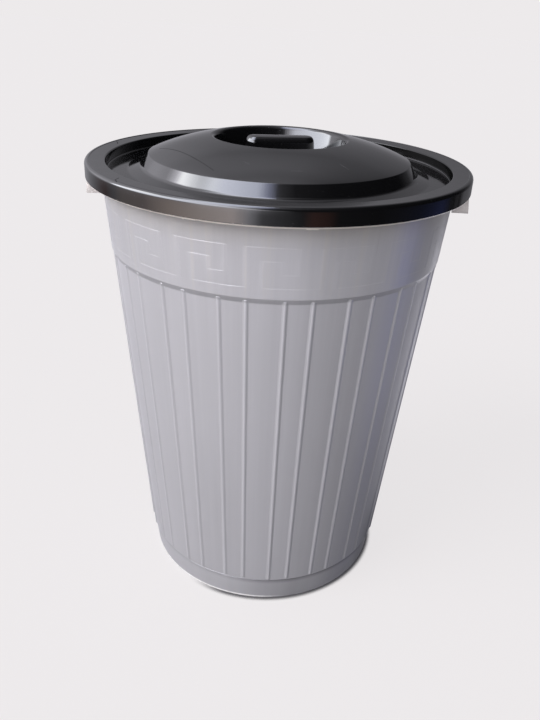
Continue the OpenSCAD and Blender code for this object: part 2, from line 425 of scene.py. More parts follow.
gripLook = {
    "colour": (0.84, 0.785, 0.765, 1.0),
    "edge": (0.62, 0.58, 0.565, 1.0),
    "dull": (0.42, 0.395, 0.385, 1.0),
    "shader": {"IOR": 1.48}, "roughness": 0.36, "bump": (0.15, 0.0003),
    "clouds": (22.0, 3.0), "grain": (700.0, 2.0), "cloudRough": 0.2,
    "wearAndPaintedLight": (0.35, 0.7, 0.0, 0.30), "lowEdge": (0.5875, 0.5845, 0.0, 0.6),
    # painted shade: the left grip is made darker behind its front end, so that it holds its tone in full light
    "left": (0.1, -0.1), "leftPaintedShade": (-0.0615, -0.0585, 0.40, 0.90), "leftPaintedDeepShade": (-0.0615, -0.0585, 0.0, 0.8),
}


def gripPlastic():
    look = gripLook
    material, wire = newMaterial("satinLightGrip")
    place, x, y, z = splitPlace(wire)
    clouds = noise(wire, place, *look["clouds"])
    grain = noise(wire, place, *look["grain"])
    left = x.ramp(*look["left"])
    # the cloudy worn patches are the plastic's own; on the left grip the darker tones behind the front end are
    # painted shade
    wearAndPaintedLight = clouds.ramp(*look["wearAndPaintedLight"]) + left * y.ramp(*look["leftPaintedShade"])
    colour = mixColours(wire, wearAndPaintedLight, look["colour"], look["edge"])
    colour = mixColours(wire, z.ramp(*look["lowEdge"]), colour, look["edge"])
    colour = mixColours(wire, left * y.ramp(*look["leftPaintedDeepShade"]), colour, look["dull"])
    roughness = look["roughness"] + (clouds - 0.5) * look["cloudRough"]
    finishPlastic(wire, look, colour, roughness, grain + clouds)
    return material


blackLook = {
    "colour": (0.0038, 0.0038, 0.0043, 1.0),
    "dust": (0.06, 0.06, 0.064, 1.0),
    "marksAndShadeBlack": (0.004, 0.004, 0.004, 1.0),
    "shader": {"IOR": 1.5, "Specular IOR Level": 0.5}, "roughness": 0.075, "bump": (0.12, 0.0006),
    "flow": (9, 14, 3.0, 0.5), "lines": (46, 25, 3.0, 0.6), "turned": (1.5, 420, 2.0, 0.5),
    "clouds": (9.0, 4.0, 0.6), "grain": (1300.0, 2.0), "flecks": (420.0, 1.0), "fleckAt": (0.745, 0.79, 0.0, 0.3),
    "roughOf": {"clouds": 0.07, "lines": 0.07, "turned": 0.04}, "paleRough": 0.15, "fleckRough": 0.4,
    "heightOf": {"flow": 1.2, "lines": 0.3, "turned": 0.08, "grain": 0.04, "clouds": 0.9}, "darkDeep": 0.4,
    # painted shade: the upright outer wall of the channel on the right is made matt near-black
    "channelPaintedShade": [("radius", 0.2318, 0.2326), ("radius", 0.2350, 0.2342), ("z", 0.6160, 0.6185),
                    ("z", 0.6284, 0.6272), ("x", 0.00, 0.06, 0.0, 0.85)],
    # marks on the lid's top in millimetres: from, to, width
    "onTop": (0.612, 0.618), "darkShare": 0.55, "markMiddle": 0.3,
    "dark": [
        ((-158.1, -35.7), (-140.9, -55.4), 0.8), ((-140.9, -55.4), (-123.3, -77.9), 0.9),
        ((-123.3, -77.9), (-96.6, -115.0), 0.8), ((-96.6, -115.0), (-71.4, -148.3), 0.6),
        ((-243.6, 68), (-240.1, 62.3), 1.2), ((-240.1, 62.3), (-236.9, 50.1), 1.2),
        ((-180.8, -163.5), (-182.2, -174.7), 1.2), ((-182.2, -174.7), (-177.8, -185.7), 1.2),
    ],
    "pale": [
        ((78.4, -115.5), (88.1, -123.7), 0.4), ((20, -150), (33, -148), 0.25), ((-38, -132), (-30, -139), 0.22),
    ],
}


# how far a point lies from a straight mark, turned into a soft line
def markMask(x, y, start, end, width):
    ax, ay = start[0] * mm, start[1] * mm
    dx, dy = (end[0] - start[0]) * mm, (end[1] - start[1]) * mm
    length = dx * dx + dy * dy
    along = x.math("MULTIPLY", (x - ax) * (dx / length) + (y - ay) * (dy / length), 1.0, clamp=True)
    offX = x - ax - along * dx
    offY = y - ay - along * dy
    away = (offX * offX + offY * offY) ** 0.5
    return away.ramp(width * mm, width * mm * blackLook["markMiddle"])


def allMarks(x, y, marks):
    return functools.reduce(Wire.atLeast, (markMask(x, y, *mark) for mark in marks))


def blackPlastic():
    look = blackLook
    material, wire = newMaterial("glossBlack")
    place, x, y, z = splitPlace(wire)
    radius, cx, cy = aroundAxis(x, y, 1e-5)
    noises = {name: streakNoise(wire, cx, cy, z, look[name]) for name in ("flow", "lines")}
    noises["turned"] = streakNoise(wire, cx, cy, radius, look["turned"])
    noises.update({name: noise(wire, place, *look[name]) for name in ("clouds", "grain")})
    flecks = noise(wire, place, *look["flecks"]).ramp(*look["fleckAt"])
    onTop = z.ramp(*look["onTop"])
    # painted shade on the right of the channel's outer wall, mixed in with the lid's marks
    channelShaded = stepMask({"radius": radius, "x": x, "z": z}, look["channelPaintedShade"])
    dark = (allMarks(x, y, look["dark"]) * onTop * look["darkShare"]).atLeast(channelShaded)
    pale = allMarks(x, y, look["pale"]) * onTop
    colour = mixColours(wire, flecks.atLeast(pale), look["colour"], look["dust"])
    roughness = (look["roughness"] + weigh(noises, look["roughOf"])
                 + pale * look["paleRough"] + flecks * look["fleckRough"])
    height = weigh(noises, look["heightOf"]) - dark * look["darkDeep"]
    finishPlastic(wire, look, colour, roughness, height, dark)
    return material


silver = silverPlastic()
lightGrip = gripPlastic()
black = blackPlastic()
print("plastics ready")


# ---- tub: one moulding, with the sizes that part.scad has; lengths in millimetres ----
tubSizes = {
    "segments": 288,
    "rimTop": 627.0, "mouthRadius": 242.4, "panelInset": 4.0, "panelFootRadius": 189.0, "wall": 2.6,
    "footHeight": 41.5, "ringTop": 1.3, "ringFoot": 3.0,
    "grooveDeep": 2.6, "grooveHigh": 2.4, "grooveEdge": 0.9,
    "bandHeight": 112.0, "bandStep": 2.5, "shoulder": 7.2,
    "rimOver": 13.4, "rimDrop": 21.0, "rimThick": 3.0, "floorLift": 5.0, "floorThick": 3.5, "footCorner": 5.0,
    "standWidth": 6.0, "middle": 1.0, "gripLength": 124.0, "gripGap": 0.3, "cutPast": 1.0,
}
slope = ((tubSizes["mouthRadius"] - tubSizes["panelInset"] - tubSizes["panelFootRadius"])
         / (tubSizes["rimTop"] - tubSizes["footHeight"]))
bandFoot = tubSizes["rimTop"] - tubSizes["bandHeight"]
shoulderFoot = bandFoot - tubSizes["shoulder"]
rimRadius = tubSizes["mouthRadius"] + tubSizes["rimOver"]
rimUnder = tubSizes["rimTop"] - tubSizes["rimThick"]
lipFoot = tubSizes["rimTop"] - tubSizes["rimDrop"]


def panelRadius(z):
    return tubSizes["panelFootRadius"] + slope * (z - tubSizes["footHeight"])


def bandRadius(z):
    return panelRadius(z) + tubSizes["bandStep"]


# the foot ring leans in a little more than the panel above it
def footRadius(z):
    low, high = tubSizes["ringFoot"], tubSizes["ringTop"]
    return panelRadius(z) - low - (high - low) * z / tubSizes["footHeight"]


# the lip is open where a side grip fills it, as in the frame
def notchLip(tub, side):
    q = tubSizes
    near, far = q["mouthRadius"], rimRadius + q["cutPast"]
    halfLong = q["gripLength"] / 2 + q["gripGap"]
    corners = [(side * x * mm, y * mm, z * mm) for x in (near, far)
               for y in (-halfLong, halfLong) for z in (lipFoot - q["cutPast"], rimUnder)]
    faces = [(0, 1, 3, 2), (4, 6, 7, 5), (0, 4, 5, 1), (2, 3, 7, 6), (0, 2, 6, 4), (1, 5, 7, 3)]
    cutter = newPiece("lipCutter", corners, faces)
    cut = tub.modifiers.new("lipNotch", "BOOLEAN")
    cut.operation, cut.solver, cut.object = "DIFFERENCE", "EXACT", cutter
    bakeModifiers(tub)
    bpy.data.objects.remove(cutter)


def buildTub():
    q = tubSizes
    wall, footHeight, rimTop, middle = q["wall"], q["footHeight"], q["rimTop"], q["middle"]
    rimIn = rimRadius - q["rimThick"]
    floorTop = q["floorLift"] + q["floorThick"]
    standIn = footRadius(0) - q["standWidth"]
    grooveFoot, grooveRadius = footHeight - q["grooveHigh"], panelRadius(footHeight) - q["grooveDeep"]
    cornerTop = footHeight + q["footCorner"]
    # out along the underside, up the outside and over the rim, then down the inside
    path = [
        [middle, q["floorLift"], 0], [standIn - q["floorLift"] / 2, q["floorLift"], 1.2], [standIn, 0, 0.4],
        [footRadius(0), 0, 1.0], [footRadius(grooveFoot), grooveFoot, 1.1],
        [grooveRadius, footHeight - q["grooveEdge"], 0.3],
        [panelRadius(footHeight), footHeight, 0.9], [panelRadius(shoulderFoot), shoulderFoot, 6.0],
        [bandRadius(bandFoot), bandFoot, 0.8], [bandRadius(rimUnder), rimUnder, 1.5], [rimIn, rimUnder, 1.0],
        [rimIn, lipFoot, 0.5], [rimRadius, lipFoot, 0.9], [rimRadius, rimTop, 3.0],
        [bandRadius(rimTop) - wall, rimTop, 1.8], [bandRadius(bandFoot) - wall, bandFoot, 2.5],
        [panelRadius(shoulderFoot) - wall, shoulderFoot, 2.0],
        [panelRadius(cornerTop) - wall, cornerTop, 2.0], [grooveRadius - wall, footHeight, 2.0],
        [footRadius(floorTop) - wall, floorTop, 12.0], [middle, floorTop, 0],
    ]
    rings = [circleRing(r, z, q["segments"]) for r, z in softPath(path)]
    tub = skinRings("binTub", rings, (0, 0, q["floorLift"] * mm), (0, 0, floorTop * mm))
    for side in (-1, 1):
        notchLip(tub, side)
    tidyMesh(tub.data, meshFinish["flatAngle"])
    paint(tub, silver)
    return tub


ribSizes = {
    "pairs": 18, "spread": 8.4, "endGap": 1.8, "height": 1.4, "halfWidth": 4.2,
    "sink": 0.35, "edgeSink": 0.04, "endWidth": 0.55, "sectionSteps": 10,
    # height above the rib's foot or the shoulder's, and the share of the rib's height there
    "footEnd": [(0, 0.05), (0.3, 0.55), (0.8, 0.85), (1.6, 1.0)],
    "topEnd": [(-1, 1.0), (1.5, 0.95), (2.6, 0.8), (3.4, 0.5), (3.8, 0.1)],
}


# one pair of ribs, copied around the tub
def buildRibs():
    q = ribSizes
    # a soft hump in section, from one side to the other
    waves = [2 * k / q["sectionSteps"] - 1 for k in range(q["sectionSteps"] + 1)]
    section = [(q["halfWidth"] * w, 0.5 + 0.5 * math.cos(math.pi * w)) for w in waves]
    low = tubSizes["footHeight"] + q["endGap"]
    stations = ([(low + up, share) for up, share in q["footEnd"]]
                + [(shoulderFoot + up, share) for up, share in q["topEnd"]])
    points, faces, crests = [], [], []
    count, across = len(section), len(section) * 2
    for side in (-1, 1):
        start = len(points)
        middle = math.radians(side * q["spread"] / 2)
        for z, share in stations:
            r = panelRadius(z) + max(0.0, z - shoulderFoot) / tubSizes["shoulder"] * tubSizes["bandStep"]
            narrow = q["endWidth"] + (1 - q["endWidth"]) * min(1.0, share)
            outer = [(s * narrow, h * share * q["height"] - q["edgeSink"]) for s, h in section]
            inner = [(s * narrow, -q["sink"]) for s, h in reversed(section)]
            for s, h in outer + inner:
                points.append(roundPoint(r + h, middle + s / r, z))
                crests.append(max(0.0, h / q["height"]))
        faces += ringFaces(start, len(stations), across)
        # both ends are closed between the outer and the inner edge
        for base in (start, start + (len(stations) - 1) * across):
            for i in range(count - 1):
                faces.append((base + i, base + i + 1, base + across - 2 - i, base + across - 1 - i))
    return copyAround(crestObject("tubRibs", points, faces, crests), q["pairs"], silver)


# the band's key pattern: one cell is ten units wide and repeats round the tub
patternSizes = {
    "cells": 17, "cellUnits": 10, "firstAngle": -96.7, "unitHeight": 8.1, "lift": 2.5,
    "relief": 0.13, "sink": 0.3, "halfWidth": 0.5,
    # its slopes, as shares of a run's width: a level run is crisp on one side and faint on the other
    "crisp": 0.055, "faint": 0.91, "upright": 0.45, "bend": 0.015,
    # how far stations keep from a corner, and from each other at most
    "clear": 0.65, "between": 0.5,
    # the painted highlight on a run's crest: how wide it fades out, and its level on level and upright runs; then
    # the angle for flat shading
    "highlightFadeWidth": 0.12, "highlightLevel": 0.56, "highlightUpright": 0.45, "flatAngle": 6.0,
    # the middle of the runs: units around, millimetres up
    "path": [(0.5, 522.3), (0.5, 572.0), (7.5, 572.0), (7.5, 539.5), (5.1, 539.5),
             (5.1, 555.5), (2.7, 555.5), (2.7, 522.3), (10.5, 522.3)],
}


# the section across a run, from its left side: offsets, heights and how pale its painted highlight is
def runSection(direction):
    p = patternSizes
    half, bend, wearAndPaintedLight = p["halfWidth"], p["bend"], p["highlightFadeWidth"]
    level = abs(direction[0]) > 0.5
    left = right = p["upright"]
    if level:
        left, right = (p["crisp"], p["faint"]) if direction[0] > 0 else (p["faint"], p["crisp"])
    # two close points at each bend keep the slopes beside it flat
    first, last = left - bend, 1 - right + bend
    shares = [0, max(first - wearAndPaintedLight, first / 2), first, left + bend, 1 - right - bend, last,
              min(last + wearAndPaintedLight, (1 + last) / 2), 1]
    offsets = [half - 2 * half * u for u in shares]
    heights = [p["relief"] * min(1.0, u / left, (1 - u) / right) for u in shares]
    pale = p["highlightLevel"] if level else p["highlightUpright"]
    crests = [0, 0, 0, pale, pale, pale, pale, 0, 0, 0]
    return np.array([[half] + offsets + [-half], [-p["sink"]] + heights + [-p["sink"]], crests])


def buildPattern():
    p = patternSizes
    unit = p["unitHeight"]
    line = [np.array((u, (v + p["lift"]) / unit)) for u, v in p["path"]]
    runs = [end - start for start, end in zip(line, line[1:])]
    lengths = [np.linalg.norm(run) for run in runs]
    directions = [run / length for run, length in zip(runs, lengths)]
    # edges run straight on and meet the next run's at the corner, also between cells
    befores = [directions[-1]] + directions
    afters = directions + [directions[0]]
    stations = []
    for i, (point, before, after) in enumerate(zip(line, befores, afters)):
        n1, n2 = np.array([-before[1], before[0]]), np.array([-after[1], after[0]])
        s1, s2 = runSection(before), runSection(after)
        spots = point + np.outer(s1[0], n1) + np.outer(s2[0], n2)
        stations.append((spots, (s1[1] + s2[1]) / 2, (s1[2] + s2[2]) / 2))
        if i < len(directions):
            free = lengths[i] - 2 * p["clear"]
            steps = max(1, math.ceil(free / p["between"]))
            for k in range(steps + 1):
                along = p["clear"] + free * k / steps
                stations.append((point + after * along + np.outer(s2[0], n2), s2[1], s2[2]))
    cellAngle = 2 * math.pi / p["cells"]
    points, crests = [], []
    for spots, heights, pale in stations:
        crests += [float(c) for c in pale]
        for (around, up), h in zip(spots, heights):
            z = up * unit
            angle = math.radians(p["firstAngle"]) + around / p["cellUnits"] * cellAngle
            points.append(roundPoint(bandRadius(z) + h, angle, z))
    faces = ringFaces(0, len(stations), len(stations[0][0]))
    return copyAround(crestObject("bandPattern", points, faces, crests), p["cells"], silver, p["flatAngle"])


# flash left under the lip by the mould
flashSizes = {
    "inner": 253.6, "outer": 255.5, "hidden": 0.5, "edge": 0.4, "least": 0.05, "steps": 10,
    "thinning": 0.4, "wave": 0.25, "waves": 9,
    # from and to in degrees right of the front, and how far it hangs
    "marks": [(9.2, 12.6, 0.9), (-21.6, -21.2, 0.8), (-63.0, -61.8, 0.6)],
}


def buildFlash():
    q = flashSizes
    inner, outer, steps = q["inner"], q["outer"], q["steps"]
    middle, high = (inner + outer) / 2, lipFoot + q["hidden"]
    points, faces = [], []
    for start, end, hang in q["marks"]:
        first = len(points)
        for k in range(steps + 1):
            share = k / steps
            angle = math.radians(start + (end - start) * share - 90)
            # the hanging edge swells in the middle and thins out at the ends
            swell = math.sin(math.pi * share) ** q["thinning"] * (1 + q["wave"] * math.sin(q["waves"] * share))
            low = lipFoot - q["least"] - hang * swell
            section = ((inner, high), (inner, lipFoot), (middle - q["edge"], low),
                       (middle + q["edge"], low), (outer, lipFoot), (outer, high))
            points += [roundPoint(r, angle, z) for r, z in section]
        across = len(section)
        faces += ringFaces(first, steps + 1, across)
        faces += [tuple(range(at, at + across)) for at in (first, first + steps * across)]
    flash = newPiece("lipFlash", points, faces)
    paint(flash, silver)
    return flash


tub = buildTub()
ribs = buildRibs()
pattern = buildPattern()
flash = buildFlash()
print("tub, ribs, band pattern and flash built")


# ---- side grips: the frame's own shape with its edges softened ----
gripSizes = {"weld": 1e-6, "flat": 1.0, "bevel": 0.45, "bevelSteps": 2, "bevelAngle": 40}


def buildGrip(name, node):
    q = gripSizes
    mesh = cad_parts[node].data.copy()
    mesh.name = name
    work = bmesh.new()
    work.from_mesh(mesh)
    bmesh.ops.remove_doubles(work, verts=work.verts, dist=q["weld"])
    bmesh.ops.dissolve_limit(work, angle_limit=math.radians(q["flat"]), verts=work.verts, edges=work.edges)
    work.to_mesh(mesh)
    work.free()
    grip = newObject(name, mesh)
    bevel = grip.modifiers.new("softEdges", "BEVEL")
    bevel.width, bevel.segments = q["bevel"] * mm, q["bevelSteps"]
    bevel.limit_method, bevel.angle_limit = "ANGLE", math.radians(q["bevelAngle"])
    bakeModifiers(grip)
    tidyMesh(grip.data, meshFinish["flatAngle"])
    paint(grip, lightGrip)
    return grip


leftGrip = buildGrip("gripLeft", "left_grip")
rightGrip = buildGrip("gripRight", "right_grip")
print("side grips built")


# ---- lid: skirt, flat rim, channel, dome, recess and pinch grip in one skin ----
lidSizes = {
    "segments": 288, "thick": 2.7, "radius": 259.93, "top": 630.0, "skirtFoot": 609.0, "skirtSoft": 0.5,
    "edgeRound": 4.6, "ledgeRadius": 254.4, "ledgeDrop": 0.6, "flatWidth": 26.7, "flatFall": 0.7,
    "channelDepth": 15.0, "channelDraft": 0.5, "channelWidth": 27.8, "channelRound": 14.0,
    "kink": [187.0, 619.8, 8.0], "creaseRadius": 177.3, "creaseTop": 635.4,
    "domeTop": 660.0, "domeBulge": 2.8, "domeSteps": 18, "arcStep": 7.0, "flatAngle": 40.0,
    "recessRadius": 89.0, "recessFloor": 623.0, "recessFloorRadius": 81.14,
    # the recess's floor closes in from a circle to the pinch grip, in these shares
    "closeFrom": 62.0, "closing": [0.25, 0.5, 0.75, 0.9],
    "barLong": 93.5, "barWide": 27.0, "barTop": 660.5, "barRound": 13.2, "barLeastRound": 0.4, "barTurn": 12.0,
    "barFillet": 2.5, "filletSteps": 5, "barDraft": 2.6, "barSoftSide": 6.0, "barSoftDown": 9.0, "barSteps": 12,
    "barCrown": 0.5, "crownInsets": [8.0, 10.0, 12.3], "crownReach": 7.5,
    # the underside, with the hollow in the pinch grip
    "underRound": 2.2, "underArcStep": 12.0, "underClosing": [0.4, 0.8, 1.0],
    "hollowEdge": 1.5, "hollowRise": 1.2, "hollowRound": 3.0, "hollowSteps": 4,
}


# points between start and end on an arc that bulges upwards
def archPoints(start, end, bulge, steps):
    start, end = np.array(start, float), np.array(end, float)
    chord = np.linalg.norm(end - start)
    radius = (chord * chord / 4 + bulge * bulge) / (2 * bulge)
    along = (end - start) / chord
    below = np.array([along[1], -along[0]])
    if below[1] > 0:
        below = -below
    centre = (start + end) / 2 + below * (radius - bulge)
    a0 = math.atan2(*(start - centre)[::-1])
    a1 = math.atan2(*(end - centre)[::-1])
    angles = [a0 + (a1 - a0) * k / steps for k in range(1, steps)]
    return [centre + radius * np.array([math.cos(a), math.sin(a)]) for a in angles]


# distance from the middle of a rounded oblong to its edge, in the direction of angle
def oblongReach(angle, halfLong, halfWide, corner):
    c, d = abs(math.cos(angle)), abs(math.sin(angle))
    if c > 1e-9 and halfLong * d / c <= halfWide - corner:
        return halfLong / c
    if d > 1e-9 and halfWide * c / d <= halfLong - corner:
        return halfWide / d
    middle = (halfLong - corner) * c + (halfWide - corner) * d
    away = (halfLong - corner) ** 2 + (halfWide - corner) ** 2 - corner ** 2
    return middle + math.sqrt(max(0.0, middle * middle - away))


# rings of the lid's skin: round ones, and the pinch grip's outline, inset or in part a circle
def lidRing(radius, height):
    return circleRing(radius, height, lidSizes["segments"], math.radians(lidSizes["barTurn"]))


def oblongRing(inset, height, share=1.0):
    q = lidSizes
    halfLong, halfWide = q["barLong"] / 2 - inset, q["barWide"] / 2 - inset
    corner = max(q["barLeastRound"], q["barRound"] - inset)
    ring = []
    for i in range(q["segments"]):
        angle = 2 * math.pi * i / q["segments"]
        reach = oblongReach(angle, halfLong, halfWide, corner) * share + q["closeFrom"] * (1 - share)
        ring.append(roundPoint(reach, angle + math.radians(q["barTurn"]), height))
    return ring


def quarterTurn(steps):
    return [math.pi / 2 * k / steps for k in range(steps + 1)]


def buildLid():
    q = lidSizes
    thick, radius, top, skirtFoot, soft = q["thick"], q["radius"], q["top"], q["skirtFoot"], q["skirtSoft"]
    channelOut, channelZ = radius - q["flatWidth"], top - q["channelDepth"]
    channelIn = channelOut - q["channelDraft"] - q["channelWidth"]
    crease, recess = [q["creaseRadius"], q["creaseTop"]], [q["recessRadius"], q["domeTop"]]
    dome = archPoints(crease, recess, q["domeBulge"], q["domeSteps"])
    # the flat rim lies a little below its outer bead and falls towards the channel
    ledge, drop = q["ledgeRadius"], q["ledgeDrop"]
    flatEnd = top - drop - q["flatFall"]
    skirt = [[radius, skirtFoot + soft, 0], [radius, top, q["edgeRound"]]]
    flatRim = [[ledge, top, 0.3], [ledge - drop, top - drop, 0.3], [channelOut, flatEnd, 2.0]]
    inner = [[channelOut - q["channelDraft"], channelZ, 2.0],
             [channelIn, channelZ, q["channelRound"]], q["kink"], crease + [1.8]]
    inner += [[r, z, 0] for r, z in dome]
    floorZ = q["recessFloor"]
    inner += [recess + [6.0], [q["recessFloorRadius"], floorZ, 12.0], [q["closeFrom"], floorZ, 0]]
    rings = [lidRing(radius - soft, skirtFoot)]
    rings += [lidRing(r, z) for r, z in softPath(skirt + flatRim + inner, q["arcStep"])]
    # the recess's floor closes in on the pinch grip, which rises with a small fillet at its foot
    barTop, fillet, draft = q["barTop"], q["barFillet"], q["barDraft"]
    rings += [oblongRing(-fillet - draft, floorZ, share) for share in q["closing"]]
    for a in quarterTurn(q["filletSteps"]):
        rings.append(oblongRing(-fillet - draft + fillet * math.sin(a), floorZ + fillet * (1 - math.cos(a))))
    # its sides lean in and roll over into a nearly flat top
    side, down, crown = q["barSoftSide"], q["barSoftDown"], q["barCrown"]
    for a in quarterTurn(q["barSteps"]):
        height = barTop - crown - down + down * math.sin(a)
        lean = draft * max(0.0, (barTop - down - height) / (barTop - down - floorZ))
        rings.append(oblongRing(side * (1 - math.cos(a)) - lean, height))
    for inset in q["crownInsets"]:
        rings.append(oblongRing(inset, barTop - crown + (inset - side) * crown / q["crownReach"]))
    # the underside from the skirt to the middle, then the hollow in the pinch grip
    below = [lidRing(radius - thick + soft, skirtFoot)]
    underCorners = besidePath(skirt + [[channelOut, flatEnd, q["underRound"]]] + inner, thick)
    below += [lidRing(r, z) for r, z in softPath(underCorners, q["underArcStep"])]
    underFloor, hollowTop, hollowRound = floorZ - thick, barTop - thick, q["hollowRound"]
    below += [oblongRing(thick - q["hollowEdge"], underFloor, share) for share in q["underClosing"]]
    below.append(oblongRing(thick, underFloor + q["hollowRise"]))
    for a in quarterTurn(q["hollowSteps"]):
        inset = thick + hollowRound * (1 - math.cos(a))
        below.append(oblongRing(inset, hollowTop - hollowRound + hollowRound * math.sin(a)))
    skin = below[::-1] + rings
    lid = skinRings("binLid", skin, (0, 0, hollowTop * mm), (0, 0, barTop * mm), q["flatAngle"])
    paint(lid, black)
    return lid


lid = buildLid()
print("lid built")


# ---- each piece rides on its body and stands for its node ----
for piece, body, slotName in (
    (tub, "tub", "tub_silver"), (ribs, "tub", "tub_silver"), (pattern, "tub", "tub_silver"),
    (flash, "tub", "tub_silver"), (leftGrip, "tub", "grip_grey"), (rightGrip, "tub", "grip_grey"),
    (lid, "lid", "lid_black"),
):
    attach(piece, body)
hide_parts("tub")
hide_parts("left_grip")
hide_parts("right_grip")
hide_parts("lid")


# ---- studio ----
backdropColour = (0.847, 0.823, 0.831, 1.0)
airColour = (0.60, 0.605, 0.64, 1.0)


# 1 for rays that show the backdrop: seen directly, mirrored or through something
def seenRays(wire):
    direct = wire.add("ShaderNodeLightPath", out="Is Camera Ray")
    return direct.atLeast(direct.sibling("Is Glossy Ray")).atLeast(direct.sibling("Is Transmission Ray"))


floorLook = {
    "size": 60.0, "glow": 0.885, "shadowShare": 0.10, "bounce": (0.17, 0.167, 0.165, 1.0),
    # a painted contact shadow: a thin dark line where the foot stands, fading out on the side of the light
    "contactReach": 0.011, "contactSamples": 16, "contactAt": (0.95, 0.55),
    "contactDark": (0.035, 0.035, 0.04, 1.0), "fadeTilt": 0.25, "fadeAt": (-0.15, -0.09),
}


def buildFloor():
    q = floorLook
    half = q["size"] / 2
    corners = [(x * half, y * half, 0) for x, y in ((-1, -1), (1, -1), (1, 1), (-1, 1))]
    floor = newPiece("studioFloor", corners, [(0, 1, 2, 3)])
    material, wire = newMaterial("paleFloor")
    x, y = splitPlace(wire)[1:3]
    plugs = {"Distance": q["contactReach"]}
    contact = wire.add("ShaderNodeAmbientOcclusion", {"samples": q["contactSamples"]}, plugs, out="AO")
    # painted contact shadow, fading out towards the light
    hidden = contact.ramp(*q["contactAt"]) * (x + y * q["fadeTilt"]).ramp(*q["fadeAt"])
    lit = mixColours(wire, hidden, backdropColour, q["contactDark"])
    glow = wire.add("ShaderNodeEmission", plugs={"Color": lit, "Strength": q["glow"]})
    shaded = tuple(c * q["shadowShare"] for c in backdropColour[:3]) + (1.0,)
    matt = wire.add("ShaderNodeBsdfDiffuse", plugs={"Color": shaded})
    pale = wire.add("ShaderNodeAddShader", plugs={0: glow, 1: matt})
    dull = wire.add("ShaderNodeBsdfDiffuse", plugs={"Color": q["bounce"]})
    surface = wire.add("ShaderNodeMixShader", plugs={0: seenRays(wire), 1: dull, 2: pale})
    wire.add("ShaderNodeOutputMaterial", plugs={"Surface": surface})
    paint(floor, material)
    floor.visible_glossy = False
    return floor


# what a glossy surface mirrors: a room painted in bands, each at a height in degrees above the lid
# each stop is an azimuth in degrees (0 in front of the bin, 90 right, 180 behind, 270 left) and a light level
roomBands = [
    {"height": -48, "stops": [
        (60, 0.08), (90, 0.08), (100, (0.08, 0.10, 0.30)), (112, 0.06), (122, 0.12), (130, 0.3), (150, 0.22),
        (185, 0.3), (215, 0.35), (245, 0.30), (280, 0.35), (320, 0.40), (340, 0.50), (0, 1.0), (24, 0.9),
        (40, 0.3)]},
    {"height": -27, "stops": [
        (60, 0.05), (80, 0.05), (90, 0.05), (96, (0.02, 0.12, 1.2)), (102, (0.02, 0.16, 1.6)),
        (107, (0.01, 0.06, 0.7)), (112, 0.02), (121, 0.05), (127, 0.4), (131, 0.2), (136, 1.2), (141, 0.8),
        (147, 2.2), (160, 1.0), (185, 0.5), (215, 0.40), (245, 0.30), (280, 0.45), (320, 0.55), (340, 0.7),
        (355, 1.4), (12, 1.5), (17, 1.7), (26, 0.9), (36, 0.4), (48, 0.05)]},
    {"height": -14, "stops": [
        (60, 0.03), (72, (0.05, 0.05, 0.07)), (90, (0.05, 0.06, 0.13)), (107, (0.08, 0.10, 0.27)), (117, 0.05),
        (121, 0.03), (125, 0.10), (129, 0.03), (135, 0.22), (141, 0.19), (157, 0.16), (173, 0.25), (195, 0.23),
        (215, 0.40), (231, 0.36), (248, (0.24, 0.17, 0.17)), (257, 0.40), (265, (0.76, 0.67, 0.65)),
        (283, (1.2, 1.02, 1.0)), (301, (3.0, 2.5, 2.3)), (320, (4.4, 3.8, 3.6)), (338, (5.6, 4.9, 4.8)),
        (347, 3.0), (354, 0.8), (2, 0.5), (16, 0.15), (22, (0.45, 0.22, 0.18)), (30, (0.3, 0.14, 0.11)),
        (36, 0.05)]},
    {"height": -4, "stops": [
        (60, 0.01), (125, 0.03), (141, 0.15), (157, 0.28), (173, 0.36), (195, 0.46), (215, 0.50), (240, 0.8),
        (256, 1.2), (272, 2.4), (290, 2.6), (300, 2.0), (312, 3.0), (322, 7.0), (350, 8.0), (0, 2.0),
        (12, 0.05)]},
    {"height": 10, "stops": [
        (60, 0.01), (125, 0.01), (140, 0.10), (148, 0.20), (160, 0.24), (172, 0.27), (189, 0.32), (196, 0.38),
        (204, 0.52), (212, 0.72), (223, 0.95), (240, 2.2), (255, 3.0), (260, (14.0, 14.4, 15.4)),
        (290, (13.0, 13.4, 14.8)), (335, (12.0, 12.4, 13.8)), (347, 6.0), (355, 0.6), (10, 0.02)]},
    {"height": 30, "stops": [
        (60, 0.01), (130, 0.01), (150, 0.20), (160, 0.31), (172, 0.33), (183, 0.36), (194, 0.46), (204, 0.70),
        (223, 1.3), (240, 2.0), (251, 2.5), (257, 4.6), (262, 8.0), (267, (15.4, 15.6, 16.0)),
        (300, (13.6, 14.0, 15.6)), (330, 9.6), (348, 2.4), (358, 0.1)]},
    {"height": 50, "stops": [
        (60, 0.01), (115, 0.01), (145, 0.16), (160, 0.38), (175, 0.68), (193, 0.85), (204, 0.92), (234, 2.4),
        (262, 2.6), (284, (4.0, 4.1, 4.4)), (296, (13.0, 13.4, 14.6)), (306, (12.0, 12.4, 14.4)),
        (340, (8.8, 9.2, 11.0)), (352, (3.6, 3.8, 5.2)), (3, 0.5), (20, 0.1)]},
    {"height": 72, "stops": [
        (60, 0.15), (100, 0.10), (140, 0.30), (170, 0.9), (195, 1.6), (230, 3.4), (254, (9.0, 9.3, 10.2)),
        (280, (11.4, 11.8, 13.4)), (306, (9.2, 9.6, 11.6)), (335, (8.0, 8.4, 10.4)), (350, (3.4, 3.6, 5.0)),
        (5, 1.0), (42, 0.36)]},
]
roomLook = {
    "radius": 12.0, "rings": 32, "segments": 64, "lidHeight": 0.63, "seam": 60.0, "brightest": 16.0,
    "plainTint": (1.0, 0.985, 1.07), "hardEdge": 0.15,
}


